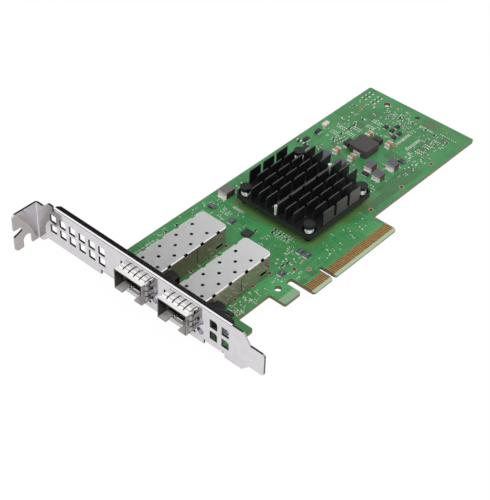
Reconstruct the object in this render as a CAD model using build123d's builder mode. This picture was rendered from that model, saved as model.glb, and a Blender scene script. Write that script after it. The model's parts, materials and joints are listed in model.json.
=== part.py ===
from build123d import *
import os

# Dual-port network interface card: a low-profile board with an x8 edge connector, on a full-height
# bracket. Millimetres, +Z out of the component side. X runs along the card and Y up from the contact
# edge. The origin is the middle of the key notch, at the contact edge, on the component side.

os.makedirs("parts", exist_ok=True)

# Board
board_thickness = 1.57
card_height = 68.90
board_far_end = 110.6
body_bottom = 11.8
board_gap = 1.0
corner_radius = 0.9
hook_bottom = 3.9
hook_left = -24.75
hook_right = -15.55
lower_tab_right = -42.7
far_hole_inset = (5.6, 13.8)
far_hole = (board_far_end - far_hole_inset[0], card_height - far_hole_inset[1])
far_hole_radius = 1.5
far_pin_inset = (4.3, 29.8)
far_pin_hole = (board_far_end - far_pin_inset[0], card_height - far_pin_inset[1])
far_pin_hole_radius = 1.15
hook_hole = (hook_left + 4.7, hook_bottom + 7.7)
hook_hole_radius = 1.5
plated_hole_radius = 0.65
plated_holes = [(41.5, 14.8), (62.2, 14.8), (83.5, 15.0), (-7.4, 14.3)]

# Edge connector: contacts at a 1 mm pitch either side of the key
contact_pitch = 1.0
contact_width = 0.7
contact_bottom = 1.35
contact_top = 5.55
contact_thickness = 0.05
first_contact = 1.5
short_contacts = 11
long_contacts = 38
contact_margin = 0.65
key_radius = 0.95
key_depth = 8.1
bevel_run = 1.3
bevel_rise = 0.45

# Bracket: one folded sheet
sheet = 0.86
bend_outer = 1.3
bracket_face = -58.25
bracket_width = 18.42
bracket_length = 120.02
bracket_low = -3.35
bracket_top = 105.4
tab_reach = 12.1
tab_shift = 3.05
tab_corner = 1.5
notch_radius = 2.2
notch_from_face = 5.7
notch_depth = 5.45
slot_top = 4.25
slot_height = 1.9
slot_mouth = 3.4
slot_depth = 4.0
jog_start = 98.8
jog_run = 3.4
ear_step = 1.2
flange_start = 94.0
flange_end = 0.95
flange_depth = 2.7
flange_corner = 1.8
relief_width = 1.0
relief_depth = 2.1
tongue_width = 10.4
tongue_start = -7.8
tongue_low = 0.27
tongue_corner = 1.2
shoulder_start = -4.2
vent_size = (3.55, 3.9)
vent_columns = 6
vent_pitch = 5.47
vent_first = 95.1
vent_rows = (8.7, 3.5)
window_size = (3.65, 4.0)
window_radius = 1.4
window_columns = (9.6, 3.9)
window_rows = (9.2, 3.5)

# Ears bent in under the board, and their screws
ear_width = 8.0
ear_length = 8.2
ear_relief = 1.1
ear_root = 0.4
ear_relief_top = -0.9
ear_heights = (hook_bottom + 5.3, card_height - 5.5)
ear_hole_inset = 5.2
ear_hole_radius = 1.5
screw_radius = 1.45
screw_hole_radius = 1.65
screw_head_radius = 2.8
screw_head_height = 2.1
screw_head_bevel = 0.5
screw_cross = (3.2, 0.6)
screw_cross_depth = 1.2
screw_end = 0.35

# Ports
port_heights = (49.3, 26.5)
cage_width = 14.25
cage_sheet = 0.3
cage_side_low = 0.3
cage_floor_z = 0.5
cage_top_z = 9.84
cage_front = 4.2
cage_rear = 43.4
cage_bend = 0.7
cage_rear_radius = 2.2
vent_hole_radius = 0.72
vent_hole_first = 7.7
vent_hole_pitch = 8.97
vent_hole_columns = 4
vent_hole_row = 3.9
fold_slot = (1.8, 1.7)
fold_slot_depth = 1.2
fold_slot_step = 3.3
leg_pitch = 10.0
leg_first = 12.5
leg_count = 4
leg_width = 0.8
leg_hole_radius = 0.6
leg_proud = 0.8
side_slit = (0.4, 6.0)
side_slit_at = 26.0
side_window = (3.6, 1.2)
side_windows_at = (7.5, 38.4)
side_window_z = 2.6
floor_length = 35.7
floor_fit = 0.05
mouth_notch = (2.9, 6.4)
latch_length = 9.0
latch_width = 5.4
latch_slit = 0.5
latch_hole = (2.0, 3.2)
latch_hole_at = 2.2

# Spring collar round each cage's mouth
collar_sheet = 0.2
collar_gap = 0.05
collar_band = 1.7
collar_corner = 0.45
finger_rise = (2.5, 0.5)
finger_peak = (4.3, 0.65)
finger_tip = (5.6, 0.1)
finger_width = 2.25
top_fingers = 5
top_finger_pitch = 2.8
side_fingers = 3
side_finger_pitch = 2.75
opening_gap = 0.95

# Host connector at the back of each cage
host_front = 33.0
host_length = 9.2
host_width = 11.6
host_height = 5.6
host_slot = (8.6, 1.3)
host_slot_z = 3.6
host_slot_depth = 6.0
host_contacts = 10
host_contact_pitch = 0.8
host_contact = (5.2, 0.35, 0.15)

# Status light pipes beside each port
light_ys = (39.6, 16.1)
light_heights = (7.1, 2.0)
light_hole_radius = 1.6
pipe_radius = 1.4
pipe_length = 10.6
pipe_dome = 0.4
pipe_proud = 0.3
pipe_fit = 0.05
holder_width = 5.0
holder_height = 8.9
holder_front = 1.7
holder_length = 9.3
holder_bevel = 0.9

# Heatsink on the controller
heatsink_centre = (26.75, 38.5)
heatsink_size = 40.0
heatsink_under = 2.6
heatsink_base = 2.4
heatsink_corner = 2.5
fin_height = 6.6
fin_thickness = 0.5
fin_ridge = 0.5
fin_bevel = 0.45
fin_rows = (2.9, 7.0, 11.1, 15.2, 19.3)
fin_segment = 6.6
fin_segment_pitch = 8.35
full_row_segments = 5
short_row_segments = 3
short_rows_from = 15.0
pin_offset = 16.75
pin_hole_radius = 1.5
pin_pocket_radius = 2.9
pin_pocket_depth = 1.4
pin_board_hole_radius = 1.45
pin_shaft_radius = 1.15
pin_cap_radius = 2.4
pin_cap_height = 1.4
pin_cap_top = 8.0
pin_barb_radius = 1.75
pin_barb_length = 1.0
pin_tip_radius = 0.6
spring_radius = 2.1
spring_bore = 1.35
post_foot_radius = 0.6
post_head_radius = 0.8
post_height = 4.4
post_insets = (1.0, 3.3)
post_ys = (-1.3, 0.3)
package_size = 27.0
package_height = 1.2
lid_size = 21.0
lid_height = 1.1

# Power parts on the far half of the board
main_inductor_at = (71.0, 41.8)
main_inductor_size = (9.6, 9.8, 3.8)
main_inductor_corner = 0.8
main_terminal = (0.3, 3.6, 1.9)
black_parts = [(69.3, 48.9, 0), (79.5, 40.8, 90)]
black_part_size = (4.0, 2.4, 2.2)

# Two-terminal parts: the middle of each and its turn
top_edge_row = card_height - 3.7
inductor_top = main_inductor_at[1] + main_inductor_size[1] / 2
upper_row = (top_edge_row + inductor_top) / 2
far_column = board_far_end - 9.4
square_inductor_spots = [(54.7, 50.0, 0), (54.9, 41.8, 0), (62.8, 31.7, 0)]
bead_spots = [(60.0, 25.4, 0), (69.7, 25.3, 0)]
top_inductor_spots = [(7.9, top_edge_row - 1.4, 0)]
ceramic_spots = [(61.7, 49.2, 0), (62.3, 41.5, 0), (80.4, 46.2, 0), (80.6, 35.6, 0)]
resistor_spots = [(2.0, 19.0, 0), (2.1, 15.7, 0), (-12.7, 16.0, 0), (-3.2, 50.7, 0), (-1.9, 62.7, 90),
                  (76.1, 25.2, 90)]
diode_spots = [(90.6, 44.7, 0), (90.1, 41.1, 0), (94.1, 41.1, 0), (86.7, 37.5, 0), (90.6, 37.5, 0)]
chip_spots = [(-20.3, top_edge_row, 0), (-26.3, top_edge_row, 0), (3.1, 34.4, 90), (4.9, 34.4, 90),
              (3.9, 31.2, 90), (3.9, 27.6, 90), (-9.0, 18.6, 90), (-6.3, 18.2, 90), (-0.9, 39.9, 90),
              (50.0, 32.4, 90), (50.0, 28.6, 90), (58.4, upper_row, 0), (68.0, upper_row, 90),
              (73.4, upper_row, 90), (79.2, upper_row, 90), (82.6, upper_row, 90), (88.6, upper_row, 90),
              (far_column, 44.6, 90), (far_column, 38.4, 0), (far_column, 31.4, 0), (far_column, 26.0, 90),
              (95.8, 22.2, 0), (89.8, 22.2, 0), (100.2, 19.4, 0), (83.2, 19.6, 0)]

# Small chips with leads along both long sides, the clock chip and the crystal
clock_chip_at = (-4.65, 41.0)
clock_chip_size = (3.9, 3.9, 0.9)
small_chip_spots = [(67.2, top_edge_row - 1, 0), (59.2, top_edge_row - 1, 0),
                    (54.4, top_edge_row - 4.4, 0), (-43.2, 15.2, 90), (58.1, 30.6, 90)]
small_chip_size = (2.9, 1.6, 1.1)
small_chip_stand = 0.1
small_chip_leads = 3
lead_pitch = 0.95
lead_size = (0.4, 0.7, 0.3)
crystal_at = (73.75, top_edge_row)
crystal_size = (3.9, 2.2, 1.0)
crystal_corner = 0.5

# Decoupling parts under the controller, on the solder side
under_columns = 4
under_rows = 3
under_pitch = (5.0, 5.0)
under_capacitor_size = (1.0, 0.5, 0.4)

# Places worked out from the sizes above
plate_inner = bracket_face + sheet
board_front = plate_inner + board_gap
short_end = first_contact + (short_contacts - 1) * contact_pitch + contact_margin
long_end = first_contact + (long_contacts - 1) * contact_pitch + contact_margin
contact_xs = [-first_contact - i * contact_pitch for i in range(short_contacts)]
contact_xs += [first_contact + i * contact_pitch for i in range(long_contacts)]
board_bottom = -board_thickness
bracket_high = bracket_low + bracket_width
bracket_tip = bracket_top - bracket_length
tab_end = bracket_face - tab_reach
tab_low = bracket_low - tab_shift
tab_high = bracket_high - tab_shift
screw_notch_x = bracket_face - notch_from_face
ear_holes = [(bracket_face + ear_hole_inset, height) for height in ear_heights]
cage_front_x = bracket_face - cage_front
cage_rear_x = bracket_face + cage_rear
port_middle_z = (cage_top_z + cage_side_low) / 2
cage_section = (cage_width, cage_top_z - cage_side_low)
leg_end = board_bottom - leg_proud
leg_xs = [bracket_face + leg_first + i * leg_pitch for i in range(leg_count)]
leg_inset = cage_width / 2 - cage_sheet / 2
leg_spots = [(x, port + side * leg_inset) for port in port_heights for side in (-1, 1) for x in leg_xs]
vent_xs = [bracket_face + vent_hole_first + i * vent_hole_pitch for i in range(vent_hole_columns)]
finger_line = [(0, 0), (collar_band, 0), finger_rise, finger_peak, finger_tip]
finger_shape = finger_line + [(x, rise + collar_sheet) for x, rise in reversed(finger_line)]
hx, hy = heatsink_centre
fin_floor = heatsink_under + heatsink_base
fin_top = fin_floor + fin_height
spring_foot = fin_floor - pin_pocket_depth
pin_cap_bottom = pin_cap_top - pin_cap_height
pin_spots = [(hx + sx * pin_offset, hy + sy * pin_offset) for sx in (-1, 1) for sy in (-1, 1)]
post_spots = [(hx + way * (heatsink_size / 2 - inset), hy + y)
              for way, inset, y in zip((-1, 1), post_insets, post_ys)]
under_spots = [(hx + (i - (under_columns - 1) / 2) * under_pitch[0],
                hy + (j - (under_rows - 1) / 2) * under_pitch[1], 0)
               for i in range(under_columns) for j in range(under_rows)]
on_floor = (Align.CENTER, Align.CENTER, Align.MIN)
hanging = (Align.CENTER, Align.CENTER, Align.MAX)
edge_up = (Align.CENTER, Align.MIN)
edge_down = (Align.CENTER, Align.MAX)
edge_right = (Align.MIN, Align.CENTER)


def placed(spots, z=0):
    """Locations on a face of the board, each with its turn."""
    return Locations(*[Location((x, y, z), (0, 0, turn)) for x, y, turn in spots])


def fin_row(segments):
    """Outline of a row of fins in X and Z: a low ridge with a tooth for each segment."""
    start = hx - ((segments - 1) * fin_segment_pitch + fin_segment) / 2
    points = [(start, fin_floor)]
    for i in range(segments):
        left = start + i * fin_segment_pitch
        right = left + fin_segment
        points += [(left, fin_floor + fin_ridge), (left, fin_top - fin_bevel), (left + fin_bevel, fin_top),
                   (right, fin_top), (right, fin_floor + fin_ridge)]
    return points + [(right, fin_floor)]


# Board, with the key notch, the hook beside it and the lower tab behind the bracket
with BuildPart() as pcb:
    with BuildSketch(Plane.XY.offset(board_bottom)):
        with BuildLine():
            Polyline(
                (board_front, hook_bottom), (lower_tab_right, hook_bottom), (lower_tab_right, body_bottom),
                (hook_left, body_bottom), (hook_left, hook_bottom), (hook_right, hook_bottom),
                (hook_right, body_bottom), (-short_end, body_bottom), (-short_end, 0), (-key_radius, 0),
                (-key_radius, key_depth), (key_radius, key_depth), (key_radius, 0), (long_end, 0),
                (long_end, body_bottom), (board_far_end, body_bottom), (board_far_end, card_height),
                (board_front, card_height), close=True,
            )
        outline = make_face()
        fillet(outline.vertices(), corner_radius)
        with Locations(far_hole):
            Circle(far_hole_radius, mode=Mode.SUBTRACT)
        with Locations(far_pin_hole):
            Circle(far_pin_hole_radius, mode=Mode.SUBTRACT)
        with Locations(hook_hole):
            Circle(hook_hole_radius, mode=Mode.SUBTRACT)
        with Locations(*plated_holes):
            Circle(plated_hole_radius, mode=Mode.SUBTRACT)
        with Locations(*ear_holes):
            Circle(screw_hole_radius, mode=Mode.SUBTRACT)
        with Locations(*pin_spots):
            Circle(pin_board_hole_radius, mode=Mode.SUBTRACT)
        with Locations(*leg_spots):
            Circle(leg_hole_radius, mode=Mode.SUBTRACT)
    extrude(amount=board_thickness)
    with BuildSketch(Plane.YZ.offset(-short_end)):
        with BuildLine():
            Polyline((-bevel_run, 0), (bevel_run, 0), (0, -bevel_rise), (-bevel_run, -bevel_rise), close=True)
        make_face()
        with BuildLine():
            Polyline((-bevel_run, board_bottom), (bevel_run, board_bottom), (0, board_bottom + bevel_rise),
                     (-bevel_run, board_bottom + bevel_rise), close=True)
        make_face()
    extrude(amount=short_end + long_end, mode=Mode.SUBTRACT)
pcb.part.label = "pcb"
export_step(pcb.part, "parts/pcb.step")

# Gold contacts on both faces of the edge connector
for side, face_z in (("top", 0), ("bottom", board_bottom - contact_thickness)):
    with BuildPart() as contacts:
        with BuildSketch(Plane.XY.offset(face_z)):
            with Locations(*[(x, contact_bottom) for x in contact_xs]):
                Rectangle(contact_width, contact_top - contact_bottom, align=edge_up)
        extrude(amount=contact_thickness)
    contacts.part.label = f"edge_contacts_{side}"
    export_step(contacts.part, f"parts/edge_contacts_{side}.step")

# Bracket: the sheet's bent section, cut to its outline, then the flange, the ears and the openings
with BuildPart() as bracket:
    with BuildSketch(Plane.XY.offset(tab_low)):
        with BuildLine():
            FilletPolyline((tab_end, bracket_top), (plate_inner, bracket_top), (plate_inner, bracket_tip),
                           radius=bend_outer)
            offset(amount=sheet, side=Side.RIGHT)
        make_face()
    extrude(amount=bracket_high - tab_low)
    with BuildSketch(Plane.YZ.offset(tab_end)):
        with BuildLine():
            Polyline(
                (bracket_top, tab_low), (bracket_top, tab_high), (jog_start + jog_run - ear_step, tab_high),
                (jog_start - ear_step, bracket_high), (flange_start + relief_width, bracket_high),
                (flange_start + relief_width, bracket_high - relief_depth),
                (flange_end, bracket_high - relief_depth), (flange_end, bracket_high),
                (shoulder_start, bracket_high), (tongue_start, tongue_low + tongue_width),
                (bracket_tip, tongue_low + tongue_width), (bracket_tip, tongue_low),
                (tongue_start, tongue_low), (shoulder_start, bracket_low), (jog_start, bracket_low),
                (jog_start + jog_run, tab_low), close=True,
            )
        silhouette = make_face()
        fillet(silhouette.vertices().sort_by(Axis.X)[:2], tongue_corner)
        with Locations(*[(height, ear_root) for height in ear_heights]):
            Rectangle(ear_width, bracket_width, align=edge_down, mode=Mode.SUBTRACT)
        with Locations(*[(height, ear_relief_top) for height in ear_heights]):
            Rectangle(ear_width + 2 * ear_relief, bracket_width, align=edge_down, mode=Mode.SUBTRACT)
    extrude(amount=tab_reach + sheet, mode=Mode.INTERSECT)
    with BuildSketch(Plane.XZ.offset(-flange_start)):
        with BuildLine():
            FilletPolyline((bracket_face, bracket_high - relief_depth), (bracket_face, bracket_high),
                           (bracket_face + flange_depth, bracket_high), radius=bend_outer)
            offset(amount=sheet, side=Side.RIGHT)
        make_face()
    extrude(amount=flange_start - flange_end)
    with BuildSketch(Plane.XY.offset(bracket_high)):
        with Locations(*[(bracket_face + flange_depth, end) for end in (flange_start, flange_end)]):
            Rectangle(flange_corner, flange_corner, rotation=45)
    extrude(amount=-sheet, mode=Mode.SUBTRACT)
    for height in ear_heights:
        with BuildSketch(Plane.XZ.offset(-height - ear_width / 2)):
            with BuildLine():
                FilletPolyline((bracket_face, ear_root), (bracket_face, board_bottom - sheet),
                               (bracket_face + ear_length, board_bottom - sheet), radius=bend_outer)
                offset(amount=sheet, side=Side.LEFT)
            make_face()
        extrude(amount=ear_width)
    with Locations(*[(x, y, board_bottom) for x, y in ear_holes]):
        Cylinder(ear_hole_radius, sheet, align=hanging, mode=Mode.SUBTRACT)
    with BuildSketch(Plane.YZ.offset(bracket_face)):
        for row in vent_rows:
            with Locations(*[(vent_first - i * vent_pitch, row) for i in range(vent_columns)]):
                Rectangle(*vent_size)
        with Locations(*[(column, row) for column in window_columns for row in window_rows]):
            Rectangle(*window_size)
            corner = (window_radius - window_size[0] / 2, window_size[1] / 2 - window_radius)
            with Locations((-window_size[0] / 2, window_size[1] / 2)):
                Rectangle(window_radius * 2, window_radius * 2, mode=Mode.SUBTRACT)
            with Locations(corner):
                Circle(window_radius)
        with Locations(*[(port, port_middle_z) for port in port_heights]):
            Rectangle(*[length + 2 * opening_gap for length in cage_section])
        with Locations(*[(light, height) for light in light_ys for height in light_heights]):
            Circle(light_hole_radius)
    extrude(amount=sheet, mode=Mode.SUBTRACT)
    with BuildSketch(Plane.XZ.offset(-bracket_top)):
        with Locations((screw_notch_x, tab_low)):
            Rectangle(2 * notch_radius, notch_depth - notch_radius, align=edge_up)
        with Locations((screw_notch_x, tab_low + notch_depth - notch_radius)):
            Circle(notch_radius)
        with BuildLine():
            Polyline((tab_end, slot_top), (tab_end + slot_depth, slot_top),
                     (tab_end + slot_depth, slot_top - slot_height), (tab_end, slot_top - slot_mouth),
                     close=True)
        make_face()
        with Locations((tab_end, tab_low), (tab_end, tab_high)):
            Rectangle(tab_corner, tab_corner, rotation=45)
    extrude(amount=sheet, mode=Mode.SUBTRACT)
bracket.part.label = "bracket"
export_step(bracket.part, "parts/bracket.step")

# Screws that hold the board on the bracket's ears
with BuildPart() as bracket_screws:
    with Locations(*ear_holes):
        Cylinder(screw_head_radius, screw_head_height, align=on_floor)
    chamfer(bracket_screws.faces().sort_by(Axis.Z)[-2:].edges(), screw_head_bevel)
    with Locations(*ear_holes):
        Cylinder(screw_radius, board_thickness + sheet + screw_end, align=hanging)
    with Locations(*[(x, y, screw_head_height) for x, y in ear_holes]):
        Box(*screw_cross, screw_cross_depth, align=hanging, mode=Mode.SUBTRACT)
        Box(*reversed(screw_cross), screw_cross_depth, align=hanging, mode=Mode.SUBTRACT)
bracket_screws.part.label = "bracket_screws"
export_step(bracket_screws.part, "parts/bracket_screws.step")

# The two ports
for number, (port, light) in enumerate(zip(port_heights, light_ys), 1):
    # Cage: an inverted channel with a back wall, legs through the board, and its vent holes
    with BuildPart() as cage:
        with BuildSketch(Plane.YZ.offset(cage_front_x)):
            with BuildLine():
                FilletPolyline((port - cage_width / 2, cage_side_low), (port - cage_width / 2, cage_top_z),
                               (port + cage_width / 2, cage_top_z), (port + cage_width / 2, cage_side_low),
                               radius=cage_bend)
                offset(amount=cage_sheet, side=Side.RIGHT)
            make_face()
        extrude(amount=cage_rear + cage_front)
        with BuildSketch(Plane.YZ.offset(cage_rear_x - cage_sheet)):
            with Locations((port, cage_side_low)):
                Rectangle(cage_width - cage_sheet, cage_top_z - cage_side_low - cage_bend, align=edge_up)
        extrude(amount=cage_sheet)
        with Locations(*[(x, port + side * leg_inset, cage_side_low) for x in leg_xs for side in (-1, 1)]):
            Box(leg_width, cage_sheet, cage_side_low - leg_end, align=hanging)
        with BuildSketch(Plane.XY.offset(cage_top_z)):
            with Locations(*[(x, port + side * vent_hole_row) for x in vent_xs for side in (-1, 1)]):
                Circle(vent_hole_radius)
            with Locations(*[(x + vent_hole_pitch / 2, port) for x in vent_xs[:-1]]):
                Circle(vent_hole_radius)
            with Locations(*[(x + fold_slot_step, port + side * cage_width / 2)
                             for x in vent_xs for side in (-1, 1)]):
                Rectangle(*fold_slot)
        extrude(amount=-fold_slot_depth, mode=Mode.SUBTRACT)
        with BuildSketch(Plane.XY.offset(cage_top_z)):
            with Locations(*[(cage_rear_x, port + side * cage_width / 2) for side in (-1, 1)]):
                Rectangle(2 * cage_rear_radius, 2 * cage_rear_radius)
            with Locations(*[(cage_rear_x - cage_rear_radius,
                              port + side * (cage_width / 2 - cage_rear_radius)) for side in (-1, 1)]):
                Circle(cage_rear_radius, mode=Mode.SUBTRACT)
        extrude(amount=cage_side_low - cage_top_z, mode=Mode.SUBTRACT)
        with BuildSketch(Plane.XZ.offset(-port)):
            with Locations((bracket_face + side_slit_at, port_middle_z)):
                Rectangle(*side_slit)
            with Locations(*[(bracket_face + at, side_window_z) for at in side_windows_at]):
                Rectangle(*side_window)
        extrude(amount=cage_width, both=True, mode=Mode.SUBTRACT)
    cage.part.label = f"port_{number}_cage"
    export_step(cage.part, f"parts/port_{number}_cage.step")

    # Floor of the cage, with the latch tongue cut into it
    with BuildPart() as cage_floor:
        with BuildSketch(Plane.XY.offset(cage_floor_z)):
            with Locations((cage_front_x, port)):
                Rectangle(floor_length, cage_width - 2 * (cage_sheet + floor_fit), align=edge_right)
                Rectangle(*mouth_notch, align=edge_right, mode=Mode.SUBTRACT)
            notch_end = cage_front_x + mouth_notch[0]
            with Locations(*[(notch_end, port + side * latch_width / 2) for side in (-1, 1)]):
                Rectangle(latch_length, latch_slit, align=edge_right, mode=Mode.SUBTRACT)
            with Locations((notch_end + latch_hole_at, port)):
                Rectangle(*latch_hole, mode=Mode.SUBTRACT)
        extrude(amount=cage_sheet)
    cage_floor.part.label = f"port_{number}_cage_floor"
    export_step(cage_floor.part, f"parts/port_{number}_cage_floor.step")

    # Spring collar: a band round the mouth, with fingers that bow out to the bracket's opening
    with BuildPart() as collar:
        with BuildSketch(Plane.YZ.offset(cage_front_x)):
            with Locations((port, port_middle_z)):
                RectangleRounded(*[length + 2 * collar_gap + 2 * collar_sheet for length in cage_section],
                                 radius=collar_corner)
                Rectangle(*[length + 2 * collar_gap for length in cage_section], mode=Mode.SUBTRACT)
        extrude(amount=collar_band)
        bottom_fingers = (0, top_fingers - 1)
        for level, way, fingers in ((cage_top_z + collar_gap, 1, range(top_fingers)),
                                    (cage_side_low - collar_gap, -1, bottom_fingers)):
            for i in fingers:
                middle = port + (i - (top_fingers - 1) / 2) * top_finger_pitch
                with BuildSketch(Plane.XZ.offset(-middle - finger_width / 2)):
                    with BuildLine():
                        Polyline(*[(cage_front_x + x, level + way * rise) for x, rise in finger_shape],
                                 close=True)
                    make_face()
                extrude(amount=finger_width)
        for way in (-1, 1):
            wall = port + way * (cage_width / 2 + collar_gap)
            for i in range(side_fingers):
                middle = port_middle_z + (i - (side_fingers - 1) / 2) * side_finger_pitch
                with BuildSketch(Plane.XY.offset(middle - finger_width / 2)):
                    with BuildLine():
                        Polyline(*[(cage_front_x + x, wall + way * rise) for x, rise in finger_shape],
                                 close=True)
                    make_face()
                extrude(amount=finger_width)
        with Locations((cage_front_x, port, cage_side_low)):
            Box(2 * mouth_notch[0], mouth_notch[1], 2 * collar_sheet + 2 * collar_gap, mode=Mode.SUBTRACT)
    collar.part.label = f"port_{number}_emi_spring"
    export_step(collar.part, f"parts/port_{number}_emi_spring.step")

    # Host connector: a block with a card slot, and its rows of contacts
    with BuildPart() as host:
        with Locations((bracket_face + host_front + host_length / 2, port)):
            Box(host_length, host_width, host_height, align=on_floor)
        with BuildSketch(Plane.YZ.offset(bracket_face + host_front)):
            with Locations((port, host_slot_z)):
                Rectangle(*host_slot)
        extrude(amount=host_slot_depth, mode=Mode.SUBTRACT)
    host.part.label = f"port_{number}_connector"
    export_step(host.part, f"parts/port_{number}_connector.step")

    with BuildPart() as host_pins:
        rows = [host_slot_z + way * (host_slot[1] - host_contact[2]) / 2 for way in (-1, 1)]
        ys = [port + (i - (host_contacts - 1) / 2) * host_contact_pitch for i in range(host_contacts)]
        back = bracket_face + host_front + host_slot_depth - host_contact[0] / 2
        with Locations(*[(back, y, row) for y in ys for row in rows]):
            Box(*host_contact)
    host_pins.part.label = f"port_{number}_contacts"
    export_step(host_pins.part, f"parts/port_{number}_contacts.step")

    # Light pipes and the black block that holds them
    with BuildPart() as pipes:
        with BuildSketch(Plane.YZ.offset(bracket_face - pipe_proud)):
            with Locations(*[(light, height) for height in light_heights]):
                Circle(pipe_radius)
        extrude(amount=pipe_length)
        chamfer(pipes.faces().sort_by(Axis.X)[:2].edges(), pipe_dome)
    pipes.part.label = f"port_{number}_light_pipes"
    export_step(pipes.part, f"parts/port_{number}_light_pipes.step")

    with BuildPart() as holder:
        with BuildSketch(Plane.YZ.offset(bracket_face + holder_front)):
            with Locations((light, 0)):
                Rectangle(holder_width, holder_height, align=edge_up)
            chamfer(vertices().group_by(Axis.Y)[-1], holder_bevel)
            with Locations(*[(light, height) for height in light_heights]):
                Circle(pipe_radius + pipe_fit, mode=Mode.SUBTRACT)
        extrude(amount=holder_length)
    holder.part.label = f"port_{number}_light_pipe_holder"
    export_step(holder.part, f"parts/port_{number}_light_pipe_holder.step")

# Controller under the heatsink
with BuildPart() as controller_substrate:
    with Locations(heatsink_centre):
        Box(package_size, package_size, package_height, align=on_floor)
controller_substrate.part.label = "controller_substrate"
export_step(controller_substrate.part, "parts/controller_substrate.step")

with BuildPart() as controller_lid:
    with Locations((hx, hy, package_height)):
        Box(lid_size, lid_size, lid_height, align=on_floor)
controller_lid.part.label = "controller_lid"
export_step(controller_lid.part, "parts/controller_lid.step")

with BuildPart() as thermal_pad:
    with Locations((hx, hy, package_height + lid_height)):
        Box(lid_size, lid_size, heatsink_under - package_height - lid_height, align=on_floor)
thermal_pad.part.label = "thermal_pad"
export_step(thermal_pad.part, "parts/thermal_pad.step")

# Heatsink: a plate with rows of cross-cut fins, whose corners are left clear for the push pins
with BuildPart() as heatsink:
    with BuildSketch(Plane.XY.offset(heatsink_under)):
        with Locations(heatsink_centre):
            RectangleRounded(heatsink_size, heatsink_size, radius=heatsink_corner)
        with Locations(*pin_spots):
            Circle(pin_hole_radius, mode=Mode.SUBTRACT)
    extrude(amount=heatsink_base)
    with Locations(*[(x, y, fin_floor) for x, y in pin_spots]):
        Cylinder(pin_pocket_radius, pin_pocket_depth, align=hanging, mode=Mode.SUBTRACT)
    for row in fin_rows:
        segments = short_row_segments if row > short_rows_from else full_row_segments
        for way in (-1, 1):
            with BuildSketch(Plane.XZ.offset(-hy - way * row - fin_thickness / 2)):
                with BuildLine():
                    Polyline(*fin_row(segments), close=True)
                make_face()
            extrude(amount=fin_thickness)
heatsink.part.label = "heatsink"
export_step(heatsink.part, "parts/heatsink.step")

with BuildPart() as heatsink_posts:
    with Locations(*[(x, y, fin_floor) for x, y in post_spots]):
        Cone(post_foot_radius, post_head_radius, post_height, align=on_floor)
heatsink_posts.part.label = "heatsink_posts"
export_step(heatsink_posts.part, "parts/heatsink_posts.step")

# Push pins, barbed under the board, and the springs under their caps
with BuildPart() as push_pins:
    with Locations(*[(x, y, pin_cap_bottom) for x, y in pin_spots]):
        Cylinder(pin_cap_radius, pin_cap_height, align=on_floor)
        Cylinder(pin_shaft_radius, pin_cap_bottom - board_bottom, align=hanging)
    with Locations(*[(x, y, board_bottom) for x, y in pin_spots]):
        Cone(pin_tip_radius, pin_barb_radius, pin_barb_length, align=hanging)
push_pins.part.label = "push_pins"
export_step(push_pins.part, "parts/push_pins.step")

with BuildPart() as push_pin_springs:
    with Locations(*[(x, y, spring_foot) for x, y in pin_spots]):
        Cylinder(spring_radius, pin_cap_bottom - spring_foot, align=on_floor)
        Cylinder(spring_bore, pin_cap_bottom - spring_foot, align=on_floor, mode=Mode.SUBTRACT)
push_pin_springs.part.label = "push_pin_springs"
export_step(push_pin_springs.part, "parts/push_pin_springs.step")

# Main inductor and its terminals
with BuildPart() as main_inductor:
    with Locations(main_inductor_at):
        Box(*main_inductor_size, align=on_floor)
    chamfer(main_inductor.edges().filter_by(Axis.Z), main_inductor_corner)
main_inductor.part.label = "main_inductor"
export_step(main_inductor.part, "parts/main_inductor.step")

with BuildPart() as inductor_terminals:
    ix, iy = main_inductor_at
    reach = (main_inductor_size[0] + main_terminal[0]) / 2
    with Locations((ix - reach, iy), (ix + reach, iy)):
        Box(*main_terminal, align=on_floor)
inductor_terminals.part.label = "inductor_terminals"
export_step(inductor_terminals.part, "parts/inductor_terminals.step")

with BuildPart() as power_chips:
    with placed(black_parts):
        Box(*black_part_size, align=on_floor)
power_chips.part.label = "power_chips"
export_step(power_chips.part, "parts/power_chips.step")

# Two-terminal parts: the size over the caps, the cap's length and its share of the height
two_terminal = {
    "top_inductor": (top_inductor_spots, (5.6, 4.7, 3.1), 0.25, 0.5),
    "square_inductor": (square_inductor_spots, (4.4, 4.0, 3.0), 0.3, 0.5),
    "ferrite_bead": (bead_spots, (4.0, 4.4, 2.9), 0.3, 0.5),
    "ceramic_capacitor": (ceramic_spots, (3.2, 2.5, 2.0), 0.5, 1.0),
    "power_resistor": (resistor_spots, (3.2, 2.2, 0.6), 0.45, 1.0),
    "signal_diode": (diode_spots, (3.0, 1.6, 1.0), 0.4, 0.3),
    "chip_resistor": (chip_spots, (1.6, 0.8, 0.5), 0.3, 1.0),
}
for name, (spots, (length, width, height), cap, rise) in two_terminal.items():
    with BuildPart() as bodies:
        with placed(spots):
            Box(length - 2 * cap, width, height, align=on_floor)
    bodies.part.label = f"{name}_bodies"
    export_step(bodies.part, f"parts/{name}_bodies.step")

    with BuildPart() as ends:
        with placed(spots):
            with Locations((-(length - cap) / 2, 0), ((length - cap) / 2, 0)):
                Box(cap, width, height * rise, align=on_floor)
    ends.part.label = f"{name}_ends"
    export_step(ends.part, f"parts/{name}_ends.step")

# Small chips and their leads, the clock chip and the crystal
with BuildPart() as small_chips:
    with placed(small_chip_spots, small_chip_stand):
        Box(*small_chip_size, align=on_floor)
small_chips.part.label = "small_chips"
export_step(small_chips.part, "parts/small_chips.step")

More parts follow.
